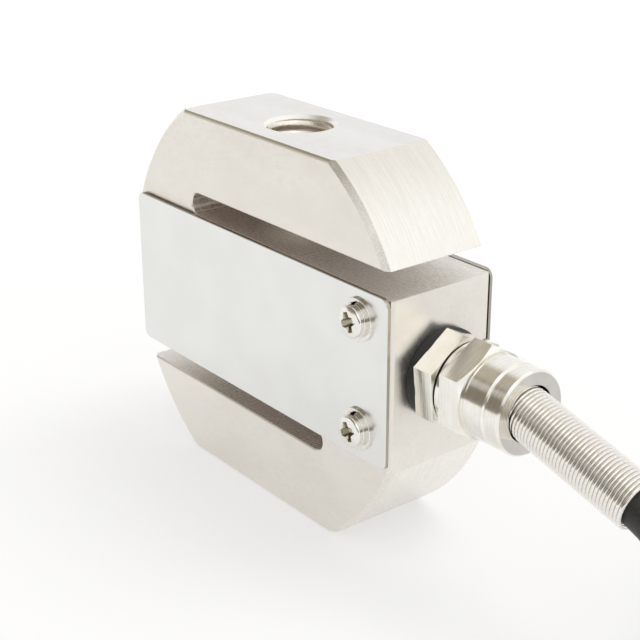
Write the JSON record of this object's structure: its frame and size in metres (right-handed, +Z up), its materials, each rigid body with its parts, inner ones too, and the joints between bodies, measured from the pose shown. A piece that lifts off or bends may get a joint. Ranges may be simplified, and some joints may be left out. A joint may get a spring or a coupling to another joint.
{
  "type": "s type load cell",
  "caption": "S-shaped tension and compression load cell with threaded load holes, screwed side covers, and a cable gland with a spring strain relief and its cable.",
  "frame": {"origin": "on the loading axis, in the plane of the lower arm's face", "axes": "+Z up along the loading axis, +X along the slots towards the cable gland, front cover facing -Y"},
  "size_m": [0.1984, 0.0936, 0.064],
  "materials": {
    "body_nickel": "satin nickel plating over machined alloy steel",
    "cover_sheet": "bright rolled stainless sheet",
    "fastener_nickel": "bright nickel plating",
    "washer_steel": "bright zinc plating",
    "gland_nickel": "polished nickel plating over brass",
    "spring_steel": "bright drawn wire",
    "pad_tin": "tinned copper",
    "wire_enamel": "clear enamel over copper",
    "strand_tin": "tinned copper strands",
    "gasket_sheet": "matt",
    "seal_rubber": "matt",
    "grommet_rubber": "matt",
    "clamp_nylon": "matt",
    "gauge_foil": "amber polyimide film",
    "board_laminate": "green lacquer",
    "resistor_body": "matt",
    "core_insulation": "smooth",
    "jacket": "smooth matt",
    "tie_nylon": "smooth matt",
    "lead_red": "smooth",
    "lead_black": "smooth",
    "lead_green": "smooth",
    "lead_white": "smooth",
    "lead_shield": "smooth"
  },
  "bodies": {
    "root": {"body": "body_nickel", "front_cover": "cover_sheet", "front_cover_gasket": "gasket_sheet", "front_cover_screws": "fastener_nickel", "front_spring_washers": "washer_steel", "front_flat_washers": "washer_steel", "front_strain_gauges": "gauge_foil", "front_gauge_wires": "wire_enamel", "rear_cover": "cover_sheet", "rear_cover_gasket": "gasket_sheet", "rear_cover_screws": "fastener_nickel", "rear_spring_washers": "washer_steel", "rear_flat_washers": "washer_steel", "rear_strain_gauges": "gauge_foil", "rear_gauge_wires": "wire_enamel", "terminal_board": "board_laminate", "terminal_pads": "pad_tin", "cable_cores": "core_insulation", "balance_board": "board_laminate", "balance_resistors": "resistor_body", "web_link_wires": "wire_enamel", "gland_seal_ring": "seal_rubber", "gland_body": "gland_nickel", "gland_grommet": "grommet_rubber", "gland_clamp_ring": "clamp_nylon", "gland_cap_nut": "gland_nickel", "strain_relief_spring": "spring_steel", "cable": "jacket", "cable_coil": "jacket", "cable_tail": "jacket", "cable_ties": "tie_nylon", "lead_red": "lead_red", "lead_black": "lead_black", "lead_green": "lead_green", "lead_white": "lead_white", "lead_shield": "lead_shield", "lead_tips": "strand_tin"}
  },
  "joints": []
}
